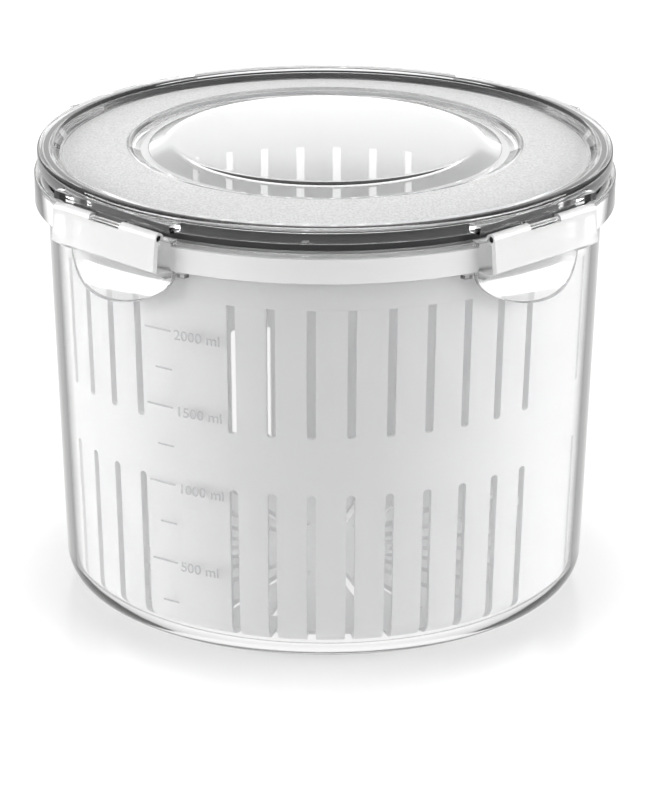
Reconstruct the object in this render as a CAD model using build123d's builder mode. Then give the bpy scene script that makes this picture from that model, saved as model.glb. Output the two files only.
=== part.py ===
from build123d import *
from math import asin, cos, degrees, radians, sin
import os

# Pickle keeper: a clear round tub, a slotted strainer basket that hangs in it, and a clear lid
# with a gasket and four hinged latches. Sizes are millimetres. The tub stands on z = 0 about the
# Z axis, and the front of the object faces -Y.

# Tub
tub_base_radius = 80.3
wall_slope = 0.0378
tub_height = 131.4
tub_wall = 2.2
tub_floor = 2.2
base_recess = 0.8
foot_width = 4.2
tub_corner_radius = 9.5

# Rim of the tub
flange_height = 9.0
flange_wall = 1.4
rim_channel = 1.5
rim_wall = 1.6
rim_deck = 2.0
rim_edge = 0.5
snap_step = 1.07
ledge_drop = 6.8

# Clearances
rest_gap = 0.3
side_gap = 0.3
basket_gap = 0.8
gasket_gap = 0.1
pocket_gap = 0.6
shelf_gap = 0.5
bore_gap = 0.08

# Strainer basket
basket_wall = 1.6
basket_floor = 1.6
basket_floor_gap = 1.5
basket_corner_radius = 6.5
basket_corner_flats = 3
basket_rim = 2.0
basket_edge = 0.4
band_height = 12.5
band_thickness = 0.35
slot_width = 2.6
slot_length = 40.4
slot_web = 18.1
slot_floor_reach = 9.3
slot_groups = 4
slots_per_group = 9
slot_pitch = 8.4
slot_group_angle = 14.1
drain_count = 24
drain_width = 3.0
drain_inner_radius = 20.0
drain_length = 38.0

# Gasket
gasket_height = 5.5
gasket_groove_width = 0.7
gasket_groove_depth = 1.4

# Lid
lid_inset = 1.0
lid_skirt_wall = 1.7
lid_skirt_gap = 2.6
lid_sheet = 2.2
plug_wall = 1.6
plug_gap = 0.3
bead_rise = 2.0
bead_width = 4.7
bead_outer_radius = 1.9
bead_inner_radius = 1.0
valley_width = 6.9
valley_drop = 0.9
plateau_width = 21.0
plateau_rise = 3.2
plateau_edge_radius = 0.8
groove_drop = 1.6
groove_outer_width = 3.5
groove_floor = 2.5
groove_radius = 0.5
shoulder_width = 6.0
shoulder_rise = 2.7
crown_rise = 1.0

# Hinge ears on the lid
latch_count = 4
latch_angle = 45.0
ear_half_width = 25.0
ear_thickness = 2.4
ear_overhang = 0.7
hinge_reach = 2.0
hinge_drop = 1.8
bar_radius = 1.0
bar_end_margin = 0.5
lug_half_width = 6.2
lug_edge_margin = 0.1
lug_overlap = 0.2

# Latches
latch_half_width = 22.0
latch_plate = 1.5
latch_lean = 0.85
crease_height = 0.9
crease_radius = 0.35
knuckle_radius = 1.75
notch_gap = 0.3
notch_depth = 2.05
mouth_width = 1.5
mouth_angle = 225.0
shelf_depth = 1.7
lip_wall = 1.2
lip_length = 11.0
lip_flare = 4.0
lip_overrun = 6.0
lip_top_drop = 0.9
guide_width = 2.5
guide_drop = 2.4


def tub_radius(height):
    """Outer radius of the tub's leaning wall at a height."""
    return tub_base_radius + wall_slope * height


def basket_radius(height):
    """Outer radius of the basket's wall, which follows the inside of the tub."""
    return tub_radius(height) - tub_wall - basket_gap


def flat_corner(edge_radius, level, corner_radius):
    """Corner between floor and wall as a run of flats, from the floor outward and up."""
    turns = [radians(90 * step / basket_corner_flats) for step in range(basket_corner_flats + 1)]
    return [
        (edge_radius - corner_radius * (1 - sin(turn)), level + corner_radius * (1 - cos(turn)))
        for turn in turns
    ]


def section_plane(angle):
    """Upright plane that holds the tub's axis, with local x outward and local y up."""
    turn = radians(angle)
    return Plane(origin=(0, 0, 0), x_dir=(cos(turn), sin(turn), 0), z_dir=(sin(turn), -cos(turn), 0))


def facing_plane(angle):
    """Upright plane through the axis, with its normal outward and local x along the rim."""
    turn = radians(angle)
    return Plane(origin=(0, 0, 0), x_dir=(-sin(turn), cos(turn), 0), z_dir=(cos(turn), sin(turn), 0))


# Levels and radii that several pieces share
floor_top = base_recess + tub_floor
flange_bottom = tub_height - flange_height
rim_wall_outer = tub_radius(flange_bottom) + snap_step
rim_wall_inner = rim_wall_outer - rim_wall
flange_inner = rim_wall_outer + rim_channel
flange_radius = flange_inner + flange_wall
ledge_level = tub_height - ledge_drop
foot_radius = tub_base_radius - tub_corner_radius - foot_width

basket_bottom = floor_top + basket_floor_gap
basket_rim_bottom = ledge_level + rest_gap
basket_rim_top = basket_rim_bottom + basket_rim
basket_rim_radius = rim_wall_inner - side_gap
band_bottom = basket_rim_bottom - band_height

gasket_bottom = tub_height + rest_gap
gasket_top = gasket_bottom + gasket_height
lid_radius = flange_radius - lid_inset
skirt_inner = lid_radius - lid_skirt_wall
skirt_bottom = tub_height + lid_skirt_gap
plug_radius = rim_wall_inner - plug_gap
plug_bottom = basket_rim_top + rest_gap

ear_top = gasket_top
ear_bottom = ear_top - ear_thickness
ear_edge = lid_radius + ear_overhang
hinge_distance = lid_radius + hinge_reach
hinge_level = ear_bottom - hinge_drop
bar_half_length = latch_half_width - bar_end_margin
lug_root = lid_radius - lid_skirt_wall / 2
lug_seat = bar_radius * sin(radians(45))
pocket_half_width = latch_half_width + pocket_gap
lip_inner = rim_wall_outer + side_gap
lip_outer = lip_inner + lip_wall
shelf_top = flange_bottom - shelf_gap
shelf_bottom = shelf_top - shelf_depth
lip_top = shelf_top - lip_top_drop
lip_bottom = lip_top - lip_length
flare_radius = (lip_length**2 + lip_flare**2) / (2 * lip_flare)
flare_centre = (lip_inner + flare_radius, lip_top)
flare_turn = degrees(asin(lip_length / flare_radius)) + lip_overrun

os.makedirs("parts", exist_ok=True)


# Tub: wall and floor in one turned section, a hollow rim flange with a ledge inside for the basket
tub_section = [
    ((0, base_recess), 0),
    ((foot_radius, base_recess), 0),
    ((foot_radius + base_recess, 0), 0),
    ((tub_base_radius, 0), tub_corner_radius),
    ((tub_radius(flange_bottom), flange_bottom), 0),
    ((rim_wall_outer, flange_bottom), 0),
    ((rim_wall_outer, tub_height - rim_deck), 0),
    ((flange_inner, tub_height - rim_deck), 0),
    ((flange_inner, flange_bottom), 0),
    ((flange_radius, flange_bottom), 0),
    ((flange_radius, tub_height - rim_edge), 0),
    ((flange_radius - rim_edge, tub_height), 0),
    ((rim_wall_inner, tub_height), 0),
    ((rim_wall_inner, ledge_level), 0),
    ((tub_radius(ledge_level) - tub_wall, ledge_level), 0),
    ((tub_radius(floor_top) - tub_wall, floor_top), tub_corner_radius - tub_wall),
    ((0, floor_top), 0),
]
guide_bottom = flange_bottom - guide_drop
guide_centre = pocket_half_width + guide_width / 2
guide_root = (rim_wall_inner + tub_radius(guide_bottom)) / 2

with BuildPart() as tub:
    # Guides that close the hollow flange at both sides of each latch
    with BuildSketch(Plane.XY.offset(guide_bottom)):
        with PolarLocations(flange_radius / 2, latch_count, start_angle=latch_angle):
            with Locations((0, -guide_centre), (0, guide_centre)):
                Rectangle(flange_radius, guide_width)
        Circle(flange_radius, mode=Mode.INTERSECT)
        Circle(guide_root, mode=Mode.SUBTRACT)
    extrude(amount=tub_height - rim_deck / 2 - guide_bottom)
    with BuildSketch(Plane.XZ):
        with BuildLine():
            FilletPolyline(
                *[point for point, _ in tub_section],
                radius=[corner for _, corner in tub_section],
                close=True,
            )
        make_face()
    revolve(axis=Axis.Z)
    # Pockets where the latches pass the flange
    with BuildSketch(Plane.XY.offset(flange_bottom - guide_drop)):
        with PolarLocations(flange_radius, latch_count, start_angle=latch_angle):
            Rectangle(flange_radius, 2 * pocket_half_width)
        Circle(rim_wall_outer, mode=Mode.SUBTRACT)
    extrude(amount=flange_height + guide_drop, mode=Mode.SUBTRACT)

tub.part.label = "tub"
export_step(tub.part, "parts/tub.step")


# Strainer basket: hangs by its rim on the tub's ledge, with two rows of slots in four groups
basket_floor_top = basket_bottom + basket_floor
inner_corner_radius = basket_corner_radius - basket_wall
outer_corner_edge = basket_radius(basket_bottom + basket_corner_radius)
inner_corner_edge = basket_radius(basket_floor_top + inner_corner_radius) - basket_wall
basket_section = [
    (0, basket_bottom),
    *flat_corner(outer_corner_edge, basket_bottom, basket_corner_radius),
    (basket_radius(band_bottom), band_bottom),
    (basket_radius(band_bottom) + band_thickness, band_bottom),
    (basket_radius(basket_rim_bottom) + band_thickness, basket_rim_bottom),
    (basket_rim_radius, basket_rim_bottom),
    (basket_rim_radius, basket_rim_top - basket_edge),
    (basket_rim_radius - basket_edge, basket_rim_top),
    (basket_radius(basket_rim_top) - basket_wall, basket_rim_top),
    *reversed(flat_corner(inner_corner_edge, basket_floor_top, inner_corner_radius)),
    (0, basket_floor_top),
]
upper_slot_bottom = band_bottom - slot_length
lower_slot_top = upper_slot_bottom - slot_web
slot_inner_radius = basket_radius(basket_bottom) - slot_floor_reach

with BuildPart() as slot_pair:
    # One slot of each row: the lower one runs down round the corner into the floor
    with BuildSketch(Plane.YZ.offset(slot_inner_radius)):
        with Locations((0, band_bottom)):
            Rectangle(slot_width, slot_length, align=(Align.CENTER, Align.MAX))
        with Locations((0, lower_slot_top)):
            Rectangle(slot_width, lower_slot_top, align=(Align.CENTER, Align.MAX))
    extrude(amount=flange_radius - slot_inner_radius)

with BuildPart() as strainer_basket:
    with BuildSketch(Plane.XZ):
        with BuildLine():
            Polyline(*basket_section, close=True)
        make_face()
    revolve(axis=Axis.Z)
    for group in range(slot_groups):
        group_centre = slot_group_angle + group * 360 / slot_groups
        group_span = slot_pitch * (slots_per_group - 1)
        with PolarLocations(
            0, slots_per_group, start_angle=group_centre - group_span / 2,
            angular_range=group_span, endpoint=True,
        ):
            add(slot_pair.part, mode=Mode.SUBTRACT)
    # Drain slots in the floor, laid out like spokes
    with BuildSketch(Plane.XY.offset(basket_bottom)):
        with PolarLocations(drain_inner_radius + drain_length / 2, drain_count):
            Rectangle(drain_length, drain_width)
    extrude(amount=basket_floor, mode=Mode.SUBTRACT)

strainer_basket.part.label = "strainer_basket"
export_step(strainer_basket.part, "parts/strainer_basket.step")


# Gasket: soft ring between the lid's skirt and plug, with a groove between its two sealing lips
gasket_inner = plug_radius + gasket_gap
gasket_outer = skirt_inner - gasket_gap
groove_centre = (gasket_inner + gasket_outer) / 2
groove_inner = groove_centre - gasket_groove_width / 2
groove_outer = groove_centre + gasket_groove_width / 2
gasket_section = [
    (gasket_inner, gasket_top),
    (gasket_inner, gasket_bottom),
    (groove_inner, gasket_bottom),
    (groove_inner, gasket_bottom + gasket_groove_depth),
    (groove_outer, gasket_bottom + gasket_groove_depth),
    (groove_outer, gasket_bottom),
    (gasket_outer, gasket_bottom),
    (gasket_outer, gasket_top),
]

with BuildPart() as lid_gasket:
    with BuildSketch(Plane.XZ):
        with BuildLine():
            Polyline(*gasket_section, close=True)
        make_face()
    revolve(axis=Axis.Z)

lid_gasket.part.label = "lid_gasket"
export_step(lid_gasket.part, "parts/lid_gasket.step")


# Lid: raised edge bead, sloping plateau, groove and domed window, over a plug ring
bead_level = gasket_top + bead_rise
valley_radius = lid_radius - valley_width
valley_level = gasket_top - valley_drop
plateau_inner = valley_radius - plateau_width
plateau_level = valley_level + plateau_rise
groove_level = plateau_level - groove_drop
groove_start = plateau_inner - groove_outer_width
window_radius = groove_start - groove_floor
shoulder_radius = window_radius - shoulder_width
shoulder_level = groove_level + shoulder_rise
crown_level = shoulder_level + crown_rise
underside = [
    (shoulder_radius, shoulder_level - lid_sheet),
    (window_radius, groove_level - lid_sheet),
    (groove_start, groove_level - lid_sheet),
    (plateau_inner, plateau_level - lid_sheet),
    (plug_radius - plug_wall, valley_level - lid_sheet),
    (plug_radius - plug_wall, plug_bottom),
    (plug_radius, plug_bottom),
    (plug_radius, gasket_top),
    (skirt_inner, gasket_top),
    (skirt_inner, skirt_bottom),
    (lid_radius, skirt_bottom),
]
topside = [
    ((lid_radius, bead_level), bead_outer_radius),
    ((lid_radius - bead_width, bead_level), bead_inner_radius),
    ((valley_radius, valley_level), groove_radius),
    ((plateau_inner, plateau_level), plateau_edge_radius),
    ((groove_start, groove_level), groove_radius),
    ((window_radius, groove_level), groove_radius),
]

with BuildPart() as lid:
    # Hinge ears with a lug and a bar under each
    with BuildSketch(Plane.XY.offset(ear_bottom)):
        with PolarLocations(0, latch_count, start_angle=latch_angle):
            Rectangle(ear_edge, 2 * ear_half_width, align=(Align.MIN, Align.CENTER))
        Circle(lug_root, mode=Mode.SUBTRACT)
    extrude(amount=ear_thickness)
    for number in range(latch_count):
        ear_section = section_plane(latch_angle + number * 360 / latch_count)
        with BuildSketch(ear_section):
            with BuildLine():
                Polyline(
                    (lug_root, ear_bottom + lug_overlap),
                    (ear_edge - lug_edge_margin, ear_bottom + lug_overlap),
                    (hinge_distance, hinge_level),
                    (hinge_distance - lug_seat, hinge_level - lug_seat),
                    (lug_root, skirt_bottom),
                    close=True,
                )
            make_face()
        extrude(amount=lug_half_width, both=True)
        with BuildSketch(ear_section):
            with Locations((hinge_distance, hinge_level)):
                Circle(bar_radius)
        extrude(amount=bar_half_length, both=True)
    with BuildSketch(Plane.XZ):
        with BuildLine():
            FilletPolyline(
                (lid_radius, skirt_bottom),
                *[point for point, _ in topside],
                (shoulder_radius, shoulder_level),
                radius=[corner for _, corner in topside],
            )
            TangentArc((0, crown_level), (shoulder_radius, shoulder_level), tangent=(1, 0))
            Line((0, crown_level), (0, crown_level - lid_sheet))
            TangentArc((0, crown_level - lid_sheet), underside[0], tangent=(1, 0))
            Polyline(*underside)
        make_face()
    revolve(axis=Axis.Z)

lid.part.label = "lid"
export_step(lid.part, "parts/lid.step")


# Latches: each clips over its bar and ends in a shelf and a curved finger lip under the flange
plate_top = hinge_distance + knuckle_radius
plate_foot = plate_top + latch_lean
crease_level = flange_bottom + crease_height
lip_reach = lip_outer + 2 * lip_flare
notch_level = hinge_level + knuckle_radius - notch_depth
latch_sides = {
    "latch_front_left": latch_angle - 180,
    "latch_front_right": latch_angle - 90,
    "latch_back_right": latch_angle,
    "latch_back_left": latch_angle + 90,
}

for latch_name, side_angle in latch_sides.items():
    across = section_plane(side_angle)
    facing = facing_plane(side_angle)
    with BuildPart() as latch:
        # Finger lip: a slice of a ring that flares away from the tub, with a half-oval outline
        with BuildSketch(Plane.XZ):
            with BuildLine():
                lip_back = CenterArc(flare_centre, flare_radius, 180, flare_turn)
                lip_front = CenterArc(flare_centre, flare_radius - lip_wall, 180, flare_turn)
                Line(lip_back @ 1, lip_front @ 1)
                Polyline(lip_back @ 0, (lip_inner, shelf_top), (lip_outer, shelf_top), lip_front @ 0)
            make_face()
        revolve(axis=Axis.Z)
        with BuildSketch(facing):
            with Locations((0, lip_top)):
                Ellipse(latch_half_width, lip_length)
                Rectangle(2 * latch_half_width, lip_top_drop, align=(Align.CENTER, Align.MIN))
        extrude(amount=lip_reach, mode=Mode.INTERSECT)
        # Plate that leans out to a crease and turns in to the shelf
        with BuildSketch(across):
            with BuildLine():
                FilletPolyline(
                    (plate_top, hinge_level),
                    (plate_foot, crease_level),
                    (lip_outer, shelf_bottom),
                    (lip_inner - lip_wall, shelf_bottom),
                    (lip_inner - lip_wall, shelf_top),
                    (plate_foot - latch_plate, shelf_top + shelf_gap),
                    (plate_top - latch_plate, hinge_level),
                    radius=[0, crease_radius, 0, 0, 0, crease_radius, 0],
                    close=True,
                )
            make_face()
        extrude(amount=latch_half_width, both=True)
        with BuildSketch(Plane.XY.offset(lip_bottom)):
            Circle(lip_inner)
        extrude(amount=hinge_level - lip_bottom, mode=Mode.SUBTRACT)
        # Knuckles, their bore and the mouth that snaps over the bar
        with BuildSketch(across):
            with Locations((hinge_distance, hinge_level)):
                Circle(knuckle_radius)
        extrude(amount=latch_half_width, both=True)
        with BuildSketch(across):
            with Locations((hinge_distance, hinge_level)):
                Circle(bar_radius + bore_gap)
                Rectangle(
                    2 * knuckle_radius, mouth_width, rotation=mouth_angle, align=(Align.MIN, Align.CENTER)
                )
        extrude(amount=latch_half_width, both=True, mode=Mode.SUBTRACT)
        # Notch that the lug on the ear stands in
        with BuildSketch(facing):
            with Locations((0, notch_level)):
                Rectangle(
                    2 * (lug_half_width + notch_gap), notch_depth, align=(Align.CENTER, Align.MIN)
                )
        extrude(amount=plate_foot, mode=Mode.SUBTRACT)

    latch.part.label = latch_name
    export_step(latch.part, f"parts/{latch_name}.step")
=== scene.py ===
import math

import bmesh
import bpy
from mathutils import Matrix, Vector


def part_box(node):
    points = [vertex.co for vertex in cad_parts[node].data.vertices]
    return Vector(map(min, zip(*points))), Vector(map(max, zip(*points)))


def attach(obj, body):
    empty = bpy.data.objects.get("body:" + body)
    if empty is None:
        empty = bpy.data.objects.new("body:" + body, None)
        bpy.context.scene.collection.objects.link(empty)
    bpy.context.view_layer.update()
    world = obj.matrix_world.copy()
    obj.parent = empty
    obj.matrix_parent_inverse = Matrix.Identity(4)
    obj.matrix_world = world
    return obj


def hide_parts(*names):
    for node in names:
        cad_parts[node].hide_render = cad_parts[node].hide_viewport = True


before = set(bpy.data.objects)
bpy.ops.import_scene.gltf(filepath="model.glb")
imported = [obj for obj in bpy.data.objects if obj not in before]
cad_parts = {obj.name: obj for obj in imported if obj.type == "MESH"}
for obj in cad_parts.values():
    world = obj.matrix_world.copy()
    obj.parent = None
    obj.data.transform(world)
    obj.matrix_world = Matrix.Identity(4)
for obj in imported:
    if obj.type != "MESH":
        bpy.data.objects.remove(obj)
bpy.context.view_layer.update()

MM = 0.001
TURNS = 288          # segments in each turned piece
SHARP_ANGLE = 30     # degrees between faces above which an edge stays sharp
LATCH_ANGLES = [45, 135, 225, 315]
OVERLAP = 0.05       # how far a piece sinks into what carries it, or stays clear of it
NO_LENGTH = 1e-6     # shorter than this counts as nothing
WELD = 1e-5          # points closer than this become one
CUT_PAST = 1.0       # how far a cut runs past what it cuts

# Rounding of the moulded edges, in millimetres
BAND_ROUND = 0.15
FINE_ROUND = 0.2
WALL_ROUND = 0.25
EDGE_ROUND = 0.3
LIP_ROUND = 0.4
STEP_ROUND = 0.5
RIM_ROUND = 0.6

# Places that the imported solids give, in millimetres
tub_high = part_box("tub")[1] / MM
basket_low, basket_high = (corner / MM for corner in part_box("strainer_basket"))
gasket_low, gasket_high = (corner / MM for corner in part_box("lid_gasket"))
lid_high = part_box("lid")[1] / MM

# Tub, in millimetres
FLANGE_RADIUS = tub_high.x
RIM_TOP = tub_high.z
WALL_SLOPE = 0.0378
TUB_WALL = 2.2
BASE_RADIUS = 80.3
BASE_RECESS = 0.8
FLOOR_TOP = 3.0
FOOT_RADIUS = 66.6
CORNER_RADIUS = 9.5
FLANGE_HEIGHT = 9.0
FLANGE_WALL = 1.4
CHANNEL = 1.5
RIM_WALL = 1.6
RIM_DECK = 2.0
LEDGE_DROP = 6.8
FLANGE_BOTTOM = RIM_TOP - FLANGE_HEIGHT
RIM_OUTER = FLANGE_RADIUS - FLANGE_WALL - CHANNEL
RIM_INNER = RIM_OUTER - RIM_WALL
LEDGE = RIM_TOP - LEDGE_DROP
POCKET_HALF = 22.6
GUIDE_WIDTH = 2.5
GUIDE_BOTTOM = FLANGE_BOTTOM - 2.4
GUIDE_RADIUS = RIM_OUTER + 0.6
POCKET_REACH = 5.0
POCKET_STEPS = 24

# Basket, in millimetres
BASKET_GAP = 0.8
BASKET_WALL = 1.6
BASKET_FLOOR = 1.6
BASKET_CORNER = 6.5
BASKET_RIM = 2.0
BAND_HEIGHT = 12.5
BAND_THICKNESS = 0.35
SLOT_WIDTH = 2.6
SLOT_LENGTH = 40.4
SLOT_WEB = 18.1
SLOT_INNER = 68.0
SLOT_PITCH = 8.4
SLOT_GROUP_ANGLE = 14.1
SLOTS_PER_GROUP = 9
SLOT_GROUPS = 4
SLOT_FOOT_ROUND = 1.0
SLOT_HEAD_ROUND = 1.25
SLOT_PAST = 2.0      # how far the lower slots run below the basket
DRAIN_COUNT = 24
DRAIN_WIDTH = 3.0
DRAIN_INNER = 20.0
DRAIN_LENGTH = 38.0
DRAIN_ROUND = 1.4
RIM_BOTTOM = basket_high.z - BASKET_RIM
BAND_BOTTOM = RIM_BOTTOM - BAND_HEIGHT

# Gasket, in millimetres
GASKET_GROOVE = 0.7
GASKET_GROOVE_DEPTH = 1.4
GASKET_CLEARANCE = 0.1

# Lid, in millimetres
LID_RADIUS = lid_high.x
LID_SHEET = 2.2
SKIRT_WALL = 1.7
SKIRT_BOTTOM = RIM_TOP + 2.6
PLUG_RADIUS = RIM_INNER - 0.3
PLUG_WALL = 1.6
PLUG_REST = 0.3      # from the plug's foot down to the basket's rim
BEAD_WIDTH = 4.7
BEAD_ROUND = 1.0
BEAD_LEVEL = gasket_high.z + 2.0
VALLEY_RADIUS = LID_RADIUS - 6.9
VALLEY_LEVEL = gasket_high.z - 0.9
PLATEAU_INNER = VALLEY_RADIUS - 21.0
PLATEAU_LEVEL = VALLEY_LEVEL + 3.2
PLATEAU_ROUND = 0.8
PLATEAU_STEP = 0.8   # how far the underside's step lies outside the plateau's edge
GROOVE_LEVEL = PLATEAU_LEVEL - 1.6
GROOVE_START = PLATEAU_INNER - 3.5
WINDOW_RADIUS = GROOVE_START - 2.5
SHOULDER_RADIUS = WINDOW_RADIUS - 6.0
SHOULDER_LEVEL = GROOVE_LEVEL + 2.7
SHOULDER_ROUND = 9.0
UNDER_SHOULDER_ROUND = 6.8
UNDER_SHOULDER_INSET = 0.47
UNDER_WINDOW_ROUND = 1.5
DOME_INSET = 3.0     # the dome's arc stops this far inside the shoulder's corner
DOME_STEPS = 24
CROWN_LEVEL = lid_high.z
EAR_TOP = gasket_high.z
EAR_BOTTOM = EAR_TOP - 2.4
EAR_EDGE = LID_RADIUS + 0.7
EAR_HALF = 25.0
EAR_STEPS = 16
HINGE_DISTANCE = LID_RADIUS + 2.0
HINGE_LEVEL = EAR_BOTTOM - 1.8
BAR_RADIUS = 1.0
BAR_HALF = 21.5
BAR_STEP = 15        # degrees between the bar's corners
LUG_HALF = 6.2
LUG_OVERLAP = 0.2
LUG_INSET = 0.1

# Looks, with places on the pieces in millimetres
CLEAR_IOR = 1.5
WHITE_IOR = 1.49
ABSORB_COLOUR = (0.4, 0.4, 0.41, 1)
ABSORB_DENSITY = 8
# The edge reaches and edge levels below set a painted shade: the plastics' colour goes grey where a
# face is seen edge on.
EDGE_REACH = (0.76, 0.86)        # how edge on a face is seen where its edge tone starts and is full
TUB_EDGE_REACH = (0.70, 0.79)
CLEAR_TONE = 0.99
TUB_PAINTED_EDGE_SHADE = 0.02
LID_PAINTED_EDGE_SHADE = 0.5
MILKY_TONE = 0.97
MILKY_PAINTED_EDGE_SHADE = 0.75
FLANGE_CLARITY = 0.25
HAZE_TOP = FLANGE_BOTTOM + 8.0
HAZE_EDGE = 0.1                  # half the stretch over which the haze starts
HAZE_FADE = 0.6                  # and the stretch over which it ends
HEIGHT_SPAN = 200                # millimetres that a ramp up the tub covers
RADIUS_SPAN = 100                # and one out from the axis
FROST_INNER = (0.4, 0.9)         # the frost starts and is full this far outside the plateau's edge
FROST_OUTER = (1.2, 0.4)         # it is full and ends this far inside the valley
FROST_ROUGHNESS = 0.55
FROST_CLARITY = 0.35
STIPPLE_DARK, STIPPLE_LIGHT = 0.80, 1.0
LIP_CLARITY = 0.85
PLATE_CLARITY = 0.5
LIP_REACH = (0.42, 0.50)         # where the lip meets the plate, as a share of the latch's height
BASKET_DARK, BASKET_LIGHT = (0.88, 0.885, 0.89, 1), (0.93, 0.93, 0.93, 1)
RUBBER_DARK, RUBBER_LIGHT = (0.018, 0.018, 0.019, 1), (0.03, 0.03, 0.031, 1)
PRINT_DARK, PRINT_LIGHT = (0.46, 0.46, 0.47, 1), (0.56, 0.56, 0.57, 1)
BEVEL_WIDTH = 0.25
BEVEL_STEPS = 2
BEVEL_ANGLE = 35                 # degrees between faces above which an edge is bevelled


def rounded(corners, steps):
    """Closed outline from corners (x, y, radius), each corner turned into an arc of that radius."""
    points = []
    count = len(corners)
    for i, (x, y, radius) in enumerate(corners):
        here = Vector((x, y))
        if radius <= 0:
            points.append(here)
            continue
        before = (Vector(corners[i - 1][:2]) - here).normalized()
        after = (Vector(corners[(i + 1) % count][:2]) - here).normalized()
        half = before.angle(after) / 2
        reach = radius / math.tan(half)
        centre = here + (before + after).normalized() * (radius / math.sin(half))
        start, end = here + before * reach - centre, here + after * reach - centre
        turn = start.angle_signed(end)
        for k in range(steps + 1):
            arm = start.copy()
            arm.rotate(Matrix.Rotation(-turn * k / steps, 2))
            points.append(centre + arm)
    return points


def new_object(name, bm):
    """Object of a finished bmesh given in millimetres, smooth except at its sharp edges."""
    bmesh.ops.remove_doubles(bm, verts=bm.verts, dist=WELD)
    bmesh.ops.recalc_face_normals(bm, faces=bm.faces)
    bmesh.ops.scale(bm, vec=(MM, MM, MM), verts=bm.verts)
    mesh = bpy.data.meshes.new(name)
    bm.to_mesh(mesh)
    bm.free()
    obj = bpy.data.objects.new(name, mesh)
    bpy.context.scene.collection.objects.link(obj)
    shade(obj)
    return obj


def shade(obj):
    mesh = obj.data
    mesh.polygons.foreach_set("use_smooth", [True] * len(mesh.polygons))
    mesh.set_sharp_from_angle(angle=math.radians(SHARP_ANGLE))


def turned(name, outline):
    """Closed piece of revolution from an outline of (radius, height) points."""
    bm = bmesh.new()
    rings = []
    for radius, height in outline:
        if radius < NO_LENGTH:
            rings.append([bm.verts.new((0, 0, height))])
            continue
        ring = []
        for k in range(TURNS):
            angle = 2 * math.pi * k / TURNS
            ring.append(bm.verts.new((radius * math.cos(angle), radius * math.sin(angle), height)))
        rings.append(ring)
    for ring, following in zip(rings, rings[1:] + rings[:1]):
        if len(ring) == len(following) == 1:
            continue
        for k in range(TURNS):
            nxt = (k + 1) % TURNS
            if len(ring) == 1:
                bm.faces.new((ring[0], following[k], following[nxt]))
            elif len(following) == 1:
                bm.faces.new((ring[k], ring[nxt], following[0]))
            else:
                bm.faces.new((ring[k], ring[nxt], following[nxt], following[k]))
    return new_object(name, bm)


def prism(bm, outline, place, low, high):
    """Adds a closed prism: an outline at two depths, each point set in space by place(x, y, depth)."""
    bottom = [bm.verts.new(place(x, y, low)) for x, y in outline]
    top = [bm.verts.new(place(x, y, high)) for x, y in outline]
    bm.faces.new(bottom)
    bm.faces.new(top)
    for i in range(len(outline)):
        j = (i + 1) % len(outline)
        bm.faces.new((bottom[i], bottom[j], top[j], top[i]))


def around(angle):
    """Turns (outward, sideways, up) into space at a polar angle in degrees."""
    turn = math.radians(angle)
    c, s = math.cos(turn), math.sin(turn)
    return lambda out, side, up: (out * c - side * s, out * s + side * c, up)


def upright(angle):
    """Turns (sideways, up, outward) into space at a polar angle in degrees."""
    spot = around(angle)
    return lambda side, up, out: spot(out, side, up)


def profiled(angle):
    """Turns (outward, up, sideways) into space at a polar angle in degrees."""
    spot = around(angle)
    return lambda out, up, side: spot(out, side, up)


def combine(target, tool, operation):
    """Boolean of two objects, applied to the first; the second is removed."""
    modifier = target.modifiers.new("combine", "BOOLEAN")
    modifier.operation = operation
    modifier.solver = "EXACT"
    modifier.object = tool
    depsgraph = bpy.context.evaluated_depsgraph_get()
    mesh = bpy.data.meshes.new_from_object(target.evaluated_get(depsgraph))
    target.modifiers.clear()
    target.data = mesh
    mesh.name = target.name
    bpy.data.objects.remove(tool)
    shade(target)


def arc(radius, first, last, steps):
    """Points of an arc about the axis, as (outward, sideways) pairs, angles in degrees."""
    turns = [math.radians(first + (last - first) * k / steps) for k in range(steps + 1)]
    return [(radius * math.cos(t), radius * math.sin(t)) for t in turns]


def side_angle(radius, sideways):
    return math.degrees(math.asin(sideways / radius))


def tub_radius(height):
    return BASE_RADIUS + WALL_SLOPE * height


def basket_radius(height):
    return tub_radius(height) - TUB_WALL - BASKET_GAP


def node_material(name):
    made = bpy.data.materials.new(name)
    made.use_nodes = True
    return made, made.node_tree, made.node_tree.nodes["Principled BSDF"]


def grey(level):
    return (level, level, level, 1)


def calculate(tree, operation, *values):
    """Math node of sockets and plain numbers."""
    node = tree.nodes.new("ShaderNodeMath")
    node.operation = operation
    for socket, value in zip(node.inputs, values):
        if isinstance(value, (int, float)):
            socket.default_value = value
        else:
            tree.links.new(value, socket)
    return node.outputs["Value"]


def spread(tree, value, levels, reach=(0, 1), shape="LINEAR"):
    """Maps a reach of values to a pair of levels, and keeps to the nearer level outside it."""
    node = tree.nodes.new("ShaderNodeMapRange")
    node.interpolation_type = shape
    node.inputs["From Min"].default_value, node.inputs["From Max"].default_value = reach
    node.inputs["To Min"].default_value, node.inputs["To Max"].default_value = levels
    tree.links.new(value, node.inputs["Value"])
    return node.outputs["Result"]


def mixed(tree, share, first, second):
    """Colour between two, each of them a colour or a socket."""
    node = tree.nodes.new("ShaderNodeMixRGB")
    tree.links.new(share, node.inputs["Fac"])
    for socket, colour in ((node.inputs["Color1"], first), (node.inputs["Color2"], second)):
        if isinstance(colour, tuple):
            socket.default_value = colour
        else:
            tree.links.new(colour, socket)
    return node.outputs["Color"]


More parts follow.
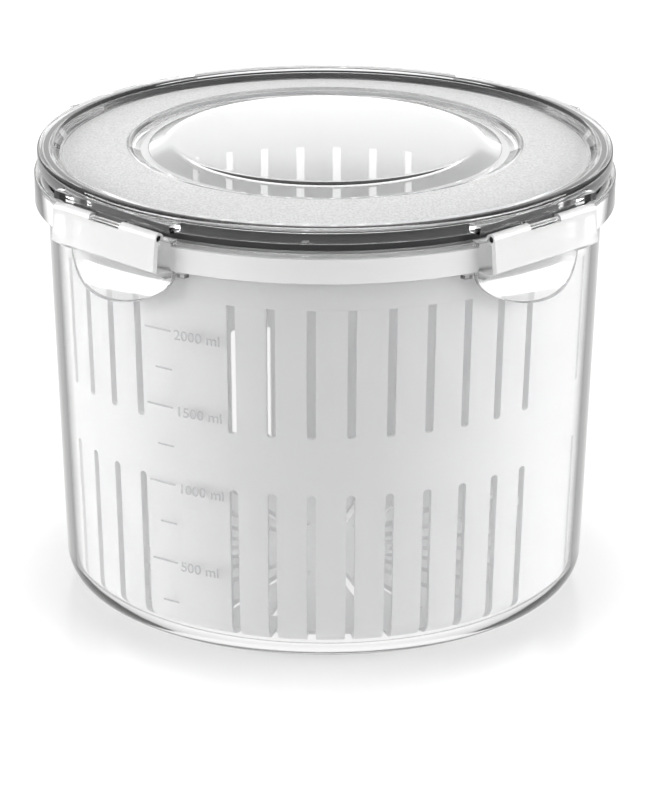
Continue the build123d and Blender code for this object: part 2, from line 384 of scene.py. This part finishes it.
def graded(tree, value, span, stops, unit=MM):
    """Level that a value in metres has on a ramp of stops (place, level), in units from 0 to a span."""
    ramp = tree.nodes.new("ShaderNodeValToRGB")
    elements = ramp.color_ramp.elements
    while len(elements) < len(stops):
        elements.new(0.5)
    for element, (place, level) in zip(elements, stops):
        element.position = place / span
        element.color = grey(level)
    tree.links.new(calculate(tree, "MULTIPLY", value, 1 / (span * unit)), ramp.inputs["Fac"])
    return ramp.outputs["Color"]


def noise(tree, scale, detail=3.0):
    texture = tree.nodes.new("ShaderNodeTexNoise")
    texture.inputs["Scale"].default_value = scale
    texture.inputs["Detail"].default_value = detail
    where = tree.nodes.new("ShaderNodeTexCoord")
    tree.links.new(where.outputs["Object"], texture.inputs["Vector"])
    return texture.outputs["Fac"]


def height_of(tree, coordinates="Object"):
    """Height in metres, or as a share of the piece's own box with Generated."""
    split = tree.nodes.new("ShaderNodeSeparateXYZ")
    where = tree.nodes.new("ShaderNodeTexCoord")
    tree.links.new(where.outputs[coordinates], split.inputs["Vector"])
    return split.outputs["Z"]


def axis_distance(tree):
    """Distance from the keeper's axis."""
    where = tree.nodes.new("ShaderNodeTexCoord")
    flat = tree.nodes.new("ShaderNodeVectorMath")
    flat.operation = "MULTIPLY"
    flat.inputs[1].default_value = (1, 1, 0)
    tree.links.new(where.outputs["Object"], flat.inputs[0])
    length = tree.nodes.new("ShaderNodeVectorMath")
    length.operation = "LENGTH"
    tree.links.new(flat.outputs["Vector"], length.inputs[0])
    return length.outputs["Value"]


def ray_kinds(tree):
    """Rays of the camera, and those off gloss or through clear plastic taken together."""
    path = tree.nodes.new("ShaderNodeLightPath")
    glossy, clear = path.outputs["Is Glossy Ray"], path.outputs["Is Transmission Ray"]
    return path.outputs["Is Camera Ray"], calculate(tree, "MAXIMUM", glossy, clear)


def bump(tree, bsdf, height, strength, distance):
    """Fine relief from a height of 0 to 1, where 1 stands for the distance."""
    node = tree.nodes.new("ShaderNodeBump")
    node.inputs["Strength"].default_value = strength
    node.inputs["Distance"].default_value = distance
    tree.links.new(height, node.inputs["Height"])
    tree.links.new(node.outputs["Normal"], bsdf.inputs["Normal"])


def absorb(tree):
    """Thick stretches of clear plastic go a little grey."""
    volume = tree.nodes.new("ShaderNodeVolumeAbsorption")
    volume.inputs["Color"].default_value = ABSORB_COLOUR
    volume.inputs["Density"].default_value = ABSORB_DENSITY
    tree.links.new(volume.outputs["Volume"], tree.nodes["Material Output"].inputs["Volume"])


def painted_edge_shade(tree, clear, edge, reach=EDGE_REACH):
    """Painted shade: the plastic's colour goes from clear to grey where it is seen edge on, in place of
    the dark surroundings seen in clear edges.
    """
    weight = tree.nodes.new("ShaderNodeLayerWeight")
    weight.inputs["Blend"].default_value = 0.5
    share = spread(tree, weight.outputs["Facing"], (0, 1), reach)
    return mixed(tree, share, grey(clear), grey(edge))


def clear_plastic(name):
    """The tub's: polished, and hazy in the flange."""
    made, tree, bsdf = node_material(name)
    links = tree.links
    # Painted shade: the tub's colour goes grey where its wall is seen edge on.
    links.new(painted_edge_shade(tree, CLEAR_TONE, TUB_PAINTED_EDGE_SHADE, TUB_EDGE_REACH), bsdf.inputs["Base Color"])
    bsdf.inputs["IOR"].default_value = CLEAR_IOR
    absorb(tree)
    stops = [
        (FLANGE_BOTTOM - HAZE_EDGE, 1.0), (FLANGE_BOTTOM + HAZE_EDGE, FLANGE_CLARITY),
        (HAZE_TOP - HAZE_FADE, FLANGE_CLARITY), (HAZE_TOP, 1.0),
    ]
    clarity = graded(tree, height_of(tree), HEIGHT_SPAN, stops)
    links.new(clarity, bsdf.inputs["Transmission Weight"])
    links.new(spread(tree, noise(tree, scale=60), (0.0, 0.04)), bsdf.inputs["Roughness"])
    bump(tree, bsdf, noise(tree, scale=25), strength=0.03, distance=1 * MM)
    return made


def lid_plastic(name):
    """The lid's: polished, with a finely stippled plateau."""
    made, tree, bsdf = node_material(name)
    links = tree.links
    bsdf.inputs["IOR"].default_value = CLEAR_IOR
    absorb(tree)
    stops = [
        (PLATEAU_INNER + FROST_INNER[0], 0.0), (PLATEAU_INNER + FROST_INNER[1], 1.0),
        (VALLEY_RADIUS - FROST_OUTER[0], 1.0), (VALLEY_RADIUS - FROST_OUTER[1], 0.0),
    ]
    frost = graded(tree, axis_distance(tree), RADIUS_SPAN, stops)
    links.new(spread(tree, frost, (0.02, FROST_ROUGHNESS)), bsdf.inputs["Roughness"])
    links.new(spread(tree, frost, (1.0, FROST_CLARITY)), bsdf.inputs["Transmission Weight"])
    dots = spread(tree, noise(tree, scale=1500, detail=2), (0, 1), reach=(0.4, 0.6))
    stipple = mixed(tree, dots, grey(STIPPLE_DARK), grey(STIPPLE_LIGHT))
    # Painted shade at the clear lid's edges, with the plateau's stipple.
    tone = mixed(tree, frost, painted_edge_shade(tree, CLEAR_TONE, LID_PAINTED_EDGE_SHADE), stipple)
    links.new(tone, bsdf.inputs["Base Color"])
    grain = calculate(tree, "MULTIPLY", noise(tree, scale=2500, detail=2), frost)
    bump(tree, bsdf, grain, strength=0.4, distance=0.2 * MM)
    return made


def frosted_plastic(name):
    """The basket's: white, with light that goes a little way in."""
    made, tree, bsdf = node_material(name)
    links = tree.links
    bsdf.inputs["IOR"].default_value = WHITE_IOR
    bsdf.inputs["Subsurface Weight"].default_value = 0.35
    bsdf.inputs["Subsurface Radius"].default_value = (1, 1, 1)
    bsdf.inputs["Subsurface Scale"].default_value = 2 * MM
    links.new(mixed(tree, noise(tree, scale=30), BASKET_DARK, BASKET_LIGHT), bsdf.inputs["Base Color"])
    links.new(spread(tree, noise(tree, scale=400), (0.28, 0.4)), bsdf.inputs["Roughness"])
    bump(tree, bsdf, noise(tree, scale=1500, detail=2), strength=0.1, distance=0.2 * MM)
    return made


def milky_plastic(name):
    """The latches': milky in the plate above, clearer in the lip below."""
    made, tree, bsdf = node_material(name)
    links = tree.links
    bsdf.inputs["IOR"].default_value = WHITE_IOR
    clarity = spread(tree, height_of(tree, "Generated"), (LIP_CLARITY, PLATE_CLARITY), LIP_REACH)
    links.new(clarity, bsdf.inputs["Transmission Weight"])
    # Painted shade: the latches' colour goes grey where they are seen edge on.
    links.new(painted_edge_shade(tree, MILKY_TONE, MILKY_PAINTED_EDGE_SHADE), bsdf.inputs["Base Color"])
    links.new(spread(tree, noise(tree, scale=80), (0.08, 0.12)), bsdf.inputs["Roughness"])
    bump(tree, bsdf, noise(tree, scale=40), strength=0.03, distance=1 * MM)
    return made


def dark_rubber(name):
    """The gasket's."""
    made, tree, bsdf = node_material(name)
    links = tree.links
    links.new(mixed(tree, noise(tree, scale=200), RUBBER_DARK, RUBBER_LIGHT), bsdf.inputs["Base Color"])
    links.new(spread(tree, noise(tree, scale=500), (0.45, 0.6)), bsdf.inputs["Roughness"])
    bump(tree, bsdf, noise(tree, scale=1500, detail=2), strength=0.1, distance=0.2 * MM)
    return made


def print_grey(name):
    """The graduations'."""
    made, tree, bsdf = node_material(name)
    tone = mixed(tree, noise(tree, scale=700), PRINT_DARK, PRINT_LIGHT)
    tree.links.new(tone, bsdf.inputs["Base Color"])
    bsdf.inputs["Roughness"].default_value = 0.5
    return made


def finish_piece(obj, body, node, look):
    """Gives a piece its material and its body, and hides the node that it stands for, if any."""
    obj.data.materials.clear()
    obj.data.materials.append(look)
    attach(obj, body)
    if node:
        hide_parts(node)


# Tub: each corner of an outline is (radius, height, rounding)
tub_outline = rounded([
    (0, BASE_RECESS, 0),
    (FOOT_RADIUS, BASE_RECESS, EDGE_ROUND),
    (FOOT_RADIUS + BASE_RECESS, 0, EDGE_ROUND),
    (BASE_RADIUS, 0, CORNER_RADIUS),
    (tub_radius(FLANGE_BOTTOM), FLANGE_BOTTOM, WALL_ROUND),
    (RIM_OUTER, FLANGE_BOTTOM, FINE_ROUND),
    (RIM_OUTER, RIM_TOP - RIM_DECK, EDGE_ROUND),
    (RIM_OUTER + CHANNEL, RIM_TOP - RIM_DECK, EDGE_ROUND),
    (RIM_OUTER + CHANNEL, FLANGE_BOTTOM, FINE_ROUND),
    (FLANGE_RADIUS, FLANGE_BOTTOM, EDGE_ROUND),
    (FLANGE_RADIUS, RIM_TOP, RIM_ROUND),
    (RIM_INNER, RIM_TOP, LIP_ROUND),
    (RIM_INNER, LEDGE, FINE_ROUND),
    (tub_radius(LEDGE) - TUB_WALL, LEDGE, EDGE_ROUND),
    (tub_radius(FLOOR_TOP) - TUB_WALL, FLOOR_TOP, CORNER_RADIUS - TUB_WALL),
    (0, FLOOR_TOP, 0),
], steps=7)
tub = turned("tub_shell", tub_outline)

guide_mesh = bmesh.new()
pocket_mesh = bmesh.new()
near, far = POCKET_HALF, POCKET_HALF + GUIDE_WIDTH
root = tub_radius(GUIDE_BOTTOM) - OVERLAP
pocket_turn = side_angle(RIM_OUTER, POCKET_HALF)
pocket_outline = arc(RIM_OUTER, -pocket_turn, pocket_turn, POCKET_STEPS) + [
    (FLANGE_RADIUS + POCKET_REACH, POCKET_HALF), (FLANGE_RADIUS + POCKET_REACH, -POCKET_HALF)
]
for angle in LATCH_ANGLES:
    spot = around(angle)
    for side in (-1, 1):
        outline = [
            (math.sqrt(root ** 2 - near ** 2), side * near),
            (math.sqrt(GUIDE_RADIUS ** 2 - near ** 2), side * near),
            (math.sqrt(GUIDE_RADIUS ** 2 - far ** 2), side * far),
            (math.sqrt(root ** 2 - far ** 2), side * far),
        ]
        prism(guide_mesh, outline, spot, GUIDE_BOTTOM, FLANGE_BOTTOM - OVERLAP)
    prism(pocket_mesh, pocket_outline, spot, GUIDE_BOTTOM - CUT_PAST, RIM_TOP + CUT_PAST)
combine(tub, new_object("pockets", pocket_mesh), "DIFFERENCE")
guides = new_object("tub_guides", guide_mesh)

# Strainer basket
basket_bottom = basket_low.z
basket_floor = basket_bottom + BASKET_FLOOR
basket_outline = rounded([
    (0, basket_bottom, 0),
    (basket_radius(basket_bottom), basket_bottom, BASKET_CORNER),
    (basket_radius(BAND_BOTTOM), BAND_BOTTOM, 0),
    (basket_radius(BAND_BOTTOM) + BAND_THICKNESS, BAND_BOTTOM, BAND_ROUND),
    (basket_radius(RIM_BOTTOM) + BAND_THICKNESS, RIM_BOTTOM, EDGE_ROUND),
    (basket_high.x, RIM_BOTTOM, LIP_ROUND),
    (basket_high.x, basket_high.z, RIM_ROUND),
    (basket_radius(basket_high.z) - BASKET_WALL, basket_high.z, STEP_ROUND),
    (basket_radius(basket_floor) - BASKET_WALL, basket_floor, BASKET_CORNER - BASKET_WALL),
    (0, basket_floor, 0),
], steps=6)
basket = turned("basket_shell", basket_outline)

slot_mesh = bmesh.new()
upper_bottom = BAND_BOTTOM - SLOT_LENGTH
lower_top = upper_bottom - SLOT_WEB
half = SLOT_WIDTH / 2
upper_slot = rounded([
    (-half, BAND_BOTTOM, EDGE_ROUND), (half, BAND_BOTTOM, EDGE_ROUND),
    (half, upper_bottom, SLOT_FOOT_ROUND), (-half, upper_bottom, SLOT_FOOT_ROUND),
], steps=4)
lower_slot = rounded([
    (-half, lower_top, SLOT_HEAD_ROUND), (half, lower_top, SLOT_HEAD_ROUND),
    (half, basket_bottom - SLOT_PAST, 0), (-half, basket_bottom - SLOT_PAST, 0),
], steps=6)
for group in range(SLOT_GROUPS):
    for number in range(SLOTS_PER_GROUP):
        place_in_group = SLOT_PITCH * (number - (SLOTS_PER_GROUP - 1) / 2)
        angle = SLOT_GROUP_ANGLE + 360 // SLOT_GROUPS * group + place_in_group
        for outline in (upper_slot, lower_slot):
            prism(slot_mesh, outline, upright(angle), SLOT_INNER, FLANGE_RADIUS)
drain_half, drain_outer = DRAIN_WIDTH / 2, DRAIN_INNER + DRAIN_LENGTH
drain = rounded([
    (DRAIN_INNER, -drain_half, DRAIN_ROUND), (drain_outer, -drain_half, DRAIN_ROUND),
    (drain_outer, drain_half, DRAIN_ROUND), (DRAIN_INNER, drain_half, DRAIN_ROUND),
], steps=4)
for number in range(DRAIN_COUNT):
    spot = around(360 * number / DRAIN_COUNT)
    prism(slot_mesh, drain, spot, basket_bottom - CUT_PAST, basket_floor + CUT_PAST)
combine(basket, new_object("slots", slot_mesh), "DIFFERENCE")

# Gasket
gasket_inner, gasket_outer = PLUG_RADIUS + GASKET_CLEARANCE, gasket_high.x
middle = (gasket_inner + gasket_outer) / 2
groove_half, groove_top = GASKET_GROOVE / 2, gasket_low.z + GASKET_GROOVE_DEPTH
gasket_outline = rounded([
    (gasket_inner, gasket_high.z, FINE_ROUND),
    (gasket_inner, gasket_low.z, FINE_ROUND),
    (middle - groove_half, gasket_low.z, FINE_ROUND),
    (middle - groove_half, groove_top, BAND_ROUND),
    (middle + groove_half, groove_top, BAND_ROUND),
    (middle + groove_half, gasket_low.z, FINE_ROUND),
    (gasket_outer, gasket_low.z, FINE_ROUND),
    (gasket_outer, gasket_high.z, FINE_ROUND),
], steps=4)
gasket = turned("gasket_ring", gasket_outline)

# Lid
dome_rise = CROWN_LEVEL - SHOULDER_LEVEL
dome_radius = (SHOULDER_RADIUS ** 2 + dome_rise ** 2) / (2 * dome_rise)
dome_centre = CROWN_LEVEL - dome_radius


def dome(radius):
    return dome_centre + math.sqrt(dome_radius ** 2 - radius ** 2)


crown = [SHOULDER_RADIUS * k / DOME_STEPS for k in range(DOME_STEPS - 1)]
dome_edge = SHOULDER_RADIUS - DOME_INSET
plug_inner = PLUG_RADIUS - PLUG_WALL
plug_foot = basket_high.z + PLUG_REST
skirt_inner = LID_RADIUS - SKIRT_WALL
lid_outline = (
    [Vector((r, dome(r) - LID_SHEET)) for r in crown]
    + rounded([
        (dome_edge, dome(dome_edge) - LID_SHEET, 0),
        (SHOULDER_RADIUS - UNDER_SHOULDER_INSET, SHOULDER_LEVEL - LID_SHEET, UNDER_SHOULDER_ROUND),
        (WINDOW_RADIUS, GROOVE_LEVEL - LID_SHEET, UNDER_WINDOW_ROUND),
        (PLATEAU_INNER, GROOVE_LEVEL - LID_SHEET, STEP_ROUND),
        (PLATEAU_INNER + PLATEAU_STEP, PLATEAU_LEVEL - LID_SHEET, STEP_ROUND),
        (plug_inner, VALLEY_LEVEL - LID_SHEET, STEP_ROUND),
        (plug_inner, plug_foot, STEP_ROUND),
        (PLUG_RADIUS, plug_foot, STEP_ROUND),
        (PLUG_RADIUS, gasket_high.z, FINE_ROUND),
        (skirt_inner, gasket_high.z, FINE_ROUND),
        (skirt_inner, SKIRT_BOTTOM, LIP_ROUND),
        (LID_RADIUS, SKIRT_BOTTOM, LIP_ROUND),
        (LID_RADIUS, BEAD_LEVEL, BEAD_ROUND),
        (LID_RADIUS - BEAD_WIDTH, BEAD_LEVEL, BEAD_ROUND),
        (VALLEY_RADIUS, VALLEY_LEVEL, STEP_ROUND),
        (PLATEAU_INNER, PLATEAU_LEVEL, PLATEAU_ROUND),
        (GROOVE_START, GROOVE_LEVEL, STEP_ROUND),
        (WINDOW_RADIUS, GROOVE_LEVEL, STEP_ROUND),
        (SHOULDER_RADIUS, SHOULDER_LEVEL, SHOULDER_ROUND),
        (dome_edge, dome(dome_edge), 0),
    ], steps=6)
    + [Vector((r, dome(r))) for r in reversed(crown[:-1])]
)
lid = turned("lid_shell", lid_outline)

ear_mesh, bar_mesh, lug_mesh = bmesh.new(), bmesh.new(), bmesh.new()
root = LID_RADIUS - SKIRT_WALL / 2
ear_turn = side_angle(root, EAR_HALF)
ear_outline = arc(root, -ear_turn, ear_turn, EAR_STEPS) + [(EAR_EDGE, EAR_HALF), (EAR_EDGE, -EAR_HALF)]
bar_turns = [math.radians(turn) for turn in range(0, 360, BAR_STEP)]
bar_outline = [
    (HINGE_DISTANCE + BAR_RADIUS * math.cos(turn), HINGE_LEVEL + BAR_RADIUS * math.sin(turn))
    for turn in bar_turns
]
seat = BAR_RADIUS * math.sin(math.radians(45))
lug_top = EAR_BOTTOM + LUG_OVERLAP
lug_outline = [
    (root, lug_top), (EAR_EDGE - LUG_INSET, lug_top), (HINGE_DISTANCE, HINGE_LEVEL),
    (HINGE_DISTANCE - seat, HINGE_LEVEL - seat), (root, SKIRT_BOTTOM + LUG_INSET),
]
for angle in LATCH_ANGLES:
    prism(ear_mesh, ear_outline, around(angle), EAR_BOTTOM, EAR_TOP)
    prism(bar_mesh, bar_outline, profiled(angle), -BAR_HALF, BAR_HALF)
    prism(lug_mesh, lug_outline, profiled(angle), -LUG_HALF, LUG_HALF)
combine(lid, new_object("ears", ear_mesh), "UNION")
bars = new_object("bars", bar_mesh)
combine(bars, new_object("lugs", lug_mesh), "UNION")
combine(lid, bars, "UNION")

# Graduations: the marks' heights by volume in ml, and their ends as turns from the front
MARK_LEVELS = {
    250: 14.9, 500: 27.8, 750: 40.5, 1000: 53.1, 1250: 65.5, 1500: 77.8, 1750: 89.9, 2000: 102.0
}
FRONT = -90.0
LONG_MARK, SHORT_MARK, MARK_END = -39.0, -36.5, -32.5
MARK_HEIGHT = 0.45
MARK_STEPS = 8
LABEL_EVERY = 500
LABEL_START = -31.8
LABEL_STRETCH = 1.08
LABEL_SIZE = 4.4
LABEL_MIDDLE = 0.35  # of a label's size, from its foot to its middle
LABEL_DROP = 0.7
LABEL_OFFSET = 0.02  # how much bolder the letters are, and how deep they sink
LETTER_STEPS = 4
RELIEF = 0.12


def on_wall(turn, z, depth):
    angle = math.radians(turn)
    r = tub_radius(z) + depth
    return (r * math.cos(angle), r * math.sin(angle), z)


mark_mesh = bmesh.new()
for volume, level in MARK_LEVELS.items():
    first = LONG_MARK if volume % LABEL_EVERY == 0 else SHORT_MARK
    turns = [FRONT + first + (MARK_END - first) * k / MARK_STEPS for k in range(MARK_STEPS + 1)]
    lower = [(turn, level - MARK_HEIGHT / 2) for turn in turns]
    upper = [(turn, level + MARK_HEIGHT / 2) for turn in reversed(turns)]
    prism(mark_mesh, lower + upper, on_wall, -OVERLAP, RELIEF)
marks = new_object("scale_ticks", mark_mesh)


def label(volume, level):
    """Letters in low relief, bent round the wall."""
    curve = bpy.data.curves.new(f"label_{volume}", "FONT")
    curve.body = f"{volume} ml"
    curve.size = LABEL_SIZE
    curve.resolution_u = LETTER_STEPS
    curve.extrude = RELIEF / 2
    curve.offset = LABEL_OFFSET
    text = bpy.data.objects.new(f"label_{volume}", curve)
    bpy.context.scene.collection.objects.link(text)
    bpy.context.view_layer.update()
    mesh = bpy.data.meshes.new_from_object(text.evaluated_get(bpy.context.evaluated_depsgraph_get()))
    bpy.data.objects.remove(text)
    start = math.radians(FRONT + LABEL_START)
    for vertex in mesh.vertices:
        x, y, depth = vertex.co
        z = level - LABEL_DROP + y - LABEL_SIZE * LABEL_MIDDLE
        r = tub_radius(z) + depth + RELIEF / 2 - LABEL_OFFSET
        turn = start + LABEL_STRETCH * x / tub_radius(z)
        vertex.co = (r * math.cos(turn) * MM, r * math.sin(turn) * MM, z * MM)
    made = bpy.data.objects.new(f"label_{volume}_ml", mesh)
    bpy.context.scene.collection.objects.link(made)
    return made


labels = [label(volume, level) for volume, level in MARK_LEVELS.items() if volume % LABEL_EVERY == 0]

# Materials and bodies
clear = clear_plastic("tub_clear_plastic")
white = frosted_plastic("basket_frosted_plastic")
finish_piece(tub, "tub", "tub", clear)
finish_piece(basket, "basket", "strainer_basket", white)
finish_piece(gasket, "lid", "lid_gasket", dark_rubber("gasket_dark_rubber"))
finish_piece(lid, "lid", "lid", lid_plastic("lid_clear_plastic"))
ink = print_grey("scale_grey")
for piece in [marks] + labels:
    finish_piece(piece, "tub", None, ink)
milky = milky_plastic("latch_milky_plastic")
finish_piece(guides, "tub", None, milky)
for name in ("latch_front_left", "latch_front_right", "latch_back_right", "latch_back_left"):
    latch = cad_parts[name]
    latch.data.materials.clear()
    latch.data.materials.append(milky)
    shade(latch)
    bevel = latch.modifiers.new("edges", "BEVEL")
    bevel.width = BEVEL_WIDTH * MM
    bevel.segments = BEVEL_STEPS
    bevel.limit_method = "ANGLE"
    bevel.angle_limit = math.radians(BEVEL_ANGLE)
    bevel.harden_normals = False

# Floor: pale, with a glow that only the camera, gloss and clear plastic see. From here on sizes
# are in metres.
FLOOR_HALF = 6
FLOOR_DROP = 0.0002       # keeps the floor just clear of the tub's foot
FLOOR_TONE = 0.55
FLOOR_ROUGHNESS = 0.25
# Painted pool of light: to gloss and clear plastic the floor glows at full level near the tub and at a
# lower level farther out.
POOL_REACH = (0.35, 0.70)     # where the lit pool fades, as plastic and gloss show it
POOL_EDGE = 0.3
# Painted shadow: the floor's glow, as the camera sees it, is dimmer close round the tub's foot.
CONTACT_REACH = (0.08, 0.11)  # where the shade under the tub's foot fades
CONTACT_LEVEL = 0.76
GLOW_SHARE = 0.25         # of the floor as the camera sees it
FLOOR_GLOW = 2.5


def studio_object(name, bm, place):
    mesh = bpy.data.meshes.new(name)
    bm.to_mesh(mesh)
    bm.free()
    obj = bpy.data.objects.new(name, mesh)
    obj.location = place
    bpy.context.scene.collection.objects.link(obj)
    return obj


def add_glow(tree, strength):
    glow = tree.nodes.new("ShaderNodeEmission")
    if isinstance(strength, (int, float)):
        glow.inputs["Strength"].default_value = strength
    else:
        tree.links.new(strength, glow.inputs["Strength"])
    return glow


floor_mesh = bmesh.new()
bmesh.ops.create_grid(floor_mesh, x_segments=2, y_segments=2, size=FLOOR_HALF)
floor = studio_object("floor", floor_mesh, (0, 0, -FLOOR_DROP))
floor_look, tree, bsdf = node_material("floor_white")
bsdf.inputs["Base Color"].default_value = grey(FLOOR_TONE)
bsdf.inputs["Roughness"].default_value = FLOOR_ROUGHNESS
camera_ray, through_ray = ray_kinds(tree)
distance = axis_distance(tree)
# Painted shadow under the tub's foot: the camera's glow on the floor drops to a share of its level near
# the axis.
painted_shadow_levels = (FLOOR_GLOW * CONTACT_LEVEL, FLOOR_GLOW)
painted_contact_shadow = spread(tree, distance, painted_shadow_levels, CONTACT_REACH, "SMOOTHSTEP")
# Painted pool of light on the floor, seen only in gloss and through clear plastic.
painted_pool = spread(tree, distance, (1, POOL_EDGE), POOL_REACH, "SMOOTHSTEP")
floor_level = calculate(
    tree, "ADD",
    calculate(tree, "MULTIPLY", painted_contact_shadow, camera_ray),
    calculate(tree, "MULTIPLY", painted_pool, through_ray),
)
glow = add_glow(tree, floor_level)
mix = tree.nodes.new("ShaderNodeMixShader")
tree.links.new(calculate(tree, "MULTIPLY_ADD", camera_ray, GLOW_SHARE, through_ray), mix.inputs["Fac"])
tree.links.new(bsdf.outputs["BSDF"], mix.inputs[1])
tree.links.new(glow.outputs["Emission"], mix.inputs[2])
tree.links.new(mix.outputs["Shader"], tree.nodes["Material Output"].inputs["Surface"])
floor.data.materials.append(floor_look)

# World: white to the camera, gloss and clear plastic, dim as a light
ROOM_LEVEL = 0.18
world = bpy.data.worlds.new("studio")
bpy.context.scene.world = world
world.use_nodes = True
tree = world.node_tree
room = tree.nodes["Background"]
room.inputs["Color"].default_value = grey(1)
room.inputs["Strength"].default_value = ROOM_LEVEL
backdrop = tree.nodes.new("ShaderNodeBackground")
backdrop.inputs["Color"].default_value = grey(1)
mix = tree.nodes.new("ShaderNodeMixShader")
tree.links.new(calculate(tree, "MAXIMUM", *ray_kinds(tree)), mix.inputs["Fac"])
tree.links.new(room.outputs["Background"], mix.inputs[1])
tree.links.new(backdrop.outputs["Background"], mix.inputs[2])
tree.links.new(mix.outputs["Shader"], tree.nodes["World Output"].inputs["Surface"])


def area_light(name, place, aim, width, height, radiance):
    """Softbox of a given radiance: its power follows from its area."""
    lamp = bpy.data.lights.new(name, "AREA")
    lamp.shape = "RECTANGLE"
    lamp.size = width
    lamp.size_y = height
    lamp.energy = radiance * width * height * math.pi
    holder = bpy.data.objects.new(name, lamp)
    holder.location = place
    holder.rotation_euler = (Vector(aim) - Vector(place)).to_track_quat("-Z", "Y").to_euler()
    bpy.context.scene.collection.objects.link(holder)


# Lamps: where they stand and what they are aimed at, in metres
MIDDLE = (0, 0, 0.07)
UPPER = (0, 0, 0.1)
LEFT_PLACE = (-1.5, -0.24, 0.38)
RIGHT_PLACE = (1.5, -0.24, 0.38)
TOP_PLACE = (0, 0.1, 1.6)
STRIP_PLACE = (-0.24, -1.9, 0.35)
area_light("left_softbox", LEFT_PLACE, MIDDLE, width=1.4, height=0.8, radiance=8.6)
area_light("right_softbox", RIGHT_PLACE, MIDDLE, width=1.4, height=0.8, radiance=8.6)
area_light("top_softbox", TOP_PLACE, UPPER, width=1.0, height=1.0, radiance=3.0)
area_light("front_strip", STRIP_PLACE, MIDDLE, width=0.10, height=1.3, radiance=6.0)

# Back panel: a standing sheet, brightest low down, that the lid's top reflects
PANEL_DISTANCE, PANEL_HALF = 2.4, 1.3
PANEL_LOW, PANEL_HIGH = 0.5, 1.6
PANEL_LEVELS = [(0.50, 2.25), (0.70, 1.95), (0.95, 1.7), (1.12, 1.05)]    # (height, level)
PANEL_SCALE = 2.5         # the ramp holds levels up to 1, so they are shares of this
panel_mesh = bmesh.new()
corners = [
    (-PANEL_HALF, 0, PANEL_LOW), (PANEL_HALF, 0, PANEL_LOW),
    (PANEL_HALF, 0, PANEL_HIGH), (-PANEL_HALF, 0, PANEL_HIGH),
]
panel_mesh.faces.new([panel_mesh.verts.new(corner) for corner in corners])
panel = studio_object("back_panel", panel_mesh, (0, PANEL_DISTANCE, 0))
panel.visible_camera = False
panel_look, tree, bsdf = node_material("back_panel_light")
tree.nodes.remove(bsdf)
stops = [(height, level / PANEL_SCALE) for height, level in PANEL_LEVELS]
glow = add_glow(tree, PANEL_SCALE)
tree.links.new(graded(tree, height_of(tree), PANEL_HIGH, stops, unit=1), glow.inputs["Color"])
tree.links.new(glow.outputs["Emission"], tree.nodes["Material Output"].inputs["Surface"])
panel.data.materials.append(panel_look)

# Camera as the photograph was taken: 650 x 800 pixels, the focal length in pixels
FRAME_WIDTH, FRAME_HEIGHT = 650, 800
FOCAL = 4510.97
DISTANCE = 1.4
ELEVATION = math.radians(18.994)
AIM = Vector((0, 0, 0.075))
AIM_PIXEL = (324.29, 340.11)
ROLL = math.radians(0.1856)
SENSOR = 36
camera_data = bpy.data.cameras.new("camera")
camera_data.sensor_width = SENSOR
camera_data.lens = SENSOR * FOCAL / FRAME_HEIGHT
camera_data.clip_start = 0.05
camera_data.clip_end = 50
camera = bpy.data.objects.new("camera", camera_data)
bpy.context.scene.collection.objects.link(camera)
camera.location = AIM + DISTANCE * Vector((0, -math.cos(ELEVATION), math.sin(ELEVATION)))
pitch = ELEVATION + math.atan((FRAME_HEIGHT / 2 - AIM_PIXEL[1]) / FOCAL)
yaw = -math.atan((FRAME_WIDTH / 2 - AIM_PIXEL[0]) / FOCAL)
camera.matrix_world = (
    Matrix.Translation(camera.location)
    @ Matrix.Rotation(yaw, 4, "Z")
    @ Matrix.Rotation(math.pi / 2 - pitch, 4, "X")
    @ Matrix.Rotation(ROLL, 4, "Z")
)
bpy.context.scene.camera = camera
bpy.context.scene.view_settings.view_transform = "Standard"
